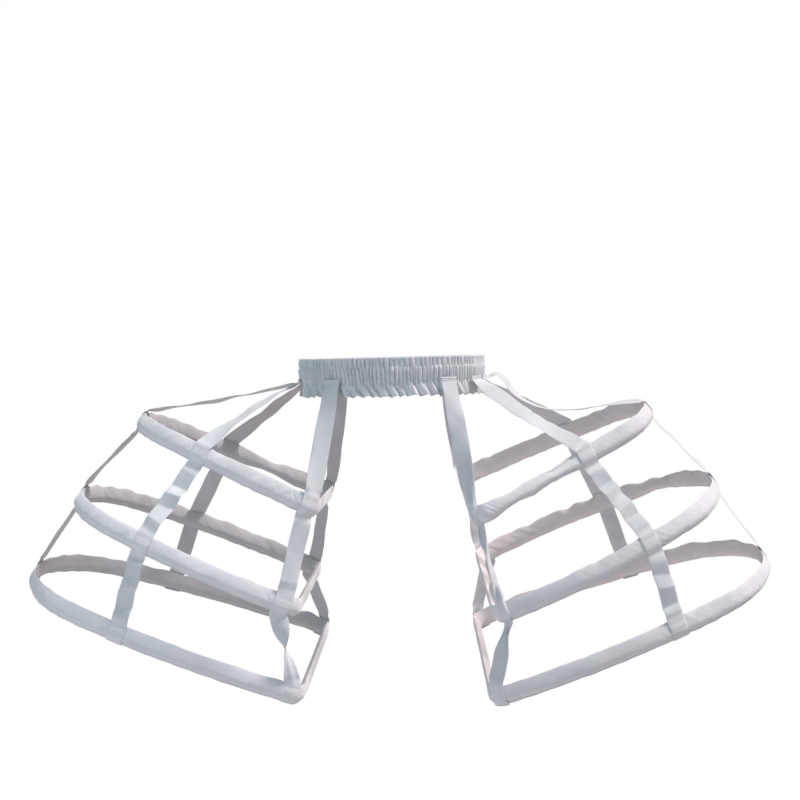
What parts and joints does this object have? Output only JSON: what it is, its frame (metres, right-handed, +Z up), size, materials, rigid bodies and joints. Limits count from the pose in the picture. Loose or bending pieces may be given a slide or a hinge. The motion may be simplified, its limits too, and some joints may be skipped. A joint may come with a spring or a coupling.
{
  "type": "crinoline cage",
  "caption": "White cloth side-hoop crinoline cage: a gathered elastic waistband with D-shaped boned hoops hung on tapes at each hip, worn under a skirt to widen it.",
  "frame": {"origin": "middle of the waist opening, half way up the waistband", "axes": "+X to the wearer's left, -Y to the wearer's front, +Z up"},
  "size_m": [0.95, 0.3052, 0.4185],
  "materials": {
    "cotton_band": "plain cotton, gathered",
    "cotton_sleeve": "plain cotton, sewn tube",
    "cotton_tape": "woven cotton tape",
    "elastic": "knitted elastic",
    "bone": "flat boning",
    "joiner": "folded flat tube"
  },
  "bodies": {
    "root": {"waist_casing": "cotton_band", "waist_elastic": "elastic", "left_top_sleeve": "cotton_sleeve", "left_top_bone": "bone", "left_top_joiner": "joiner", "left_middle_sleeve": "cotton_sleeve", "left_middle_bone": "bone", "left_middle_joiner": "joiner", "left_bottom_sleeve": "cotton_sleeve", "left_bottom_bone": "bone", "left_bottom_joiner": "joiner", "left_front_inner_tape": "cotton_tape", "left_front_mid_tape": "cotton_tape", "left_side_tape": "cotton_tape", "left_back_mid_tape": "cotton_tape", "left_back_inner_tape": "cotton_tape", "right_top_sleeve": "cotton_sleeve", "right_top_bone": "bone", "right_top_joiner": "joiner", "right_middle_sleeve": "cotton_sleeve", "right_middle_bone": "bone", "right_middle_joiner": "joiner", "right_bottom_sleeve": "cotton_sleeve", "right_bottom_bone": "bone", "right_bottom_joiner": "joiner", "right_front_inner_tape": "cotton_tape", "right_front_mid_tape": "cotton_tape", "right_side_tape": "cotton_tape", "right_back_mid_tape": "cotton_tape", "right_back_inner_tape": "cotton_tape"}
  },
  "joints": []
}
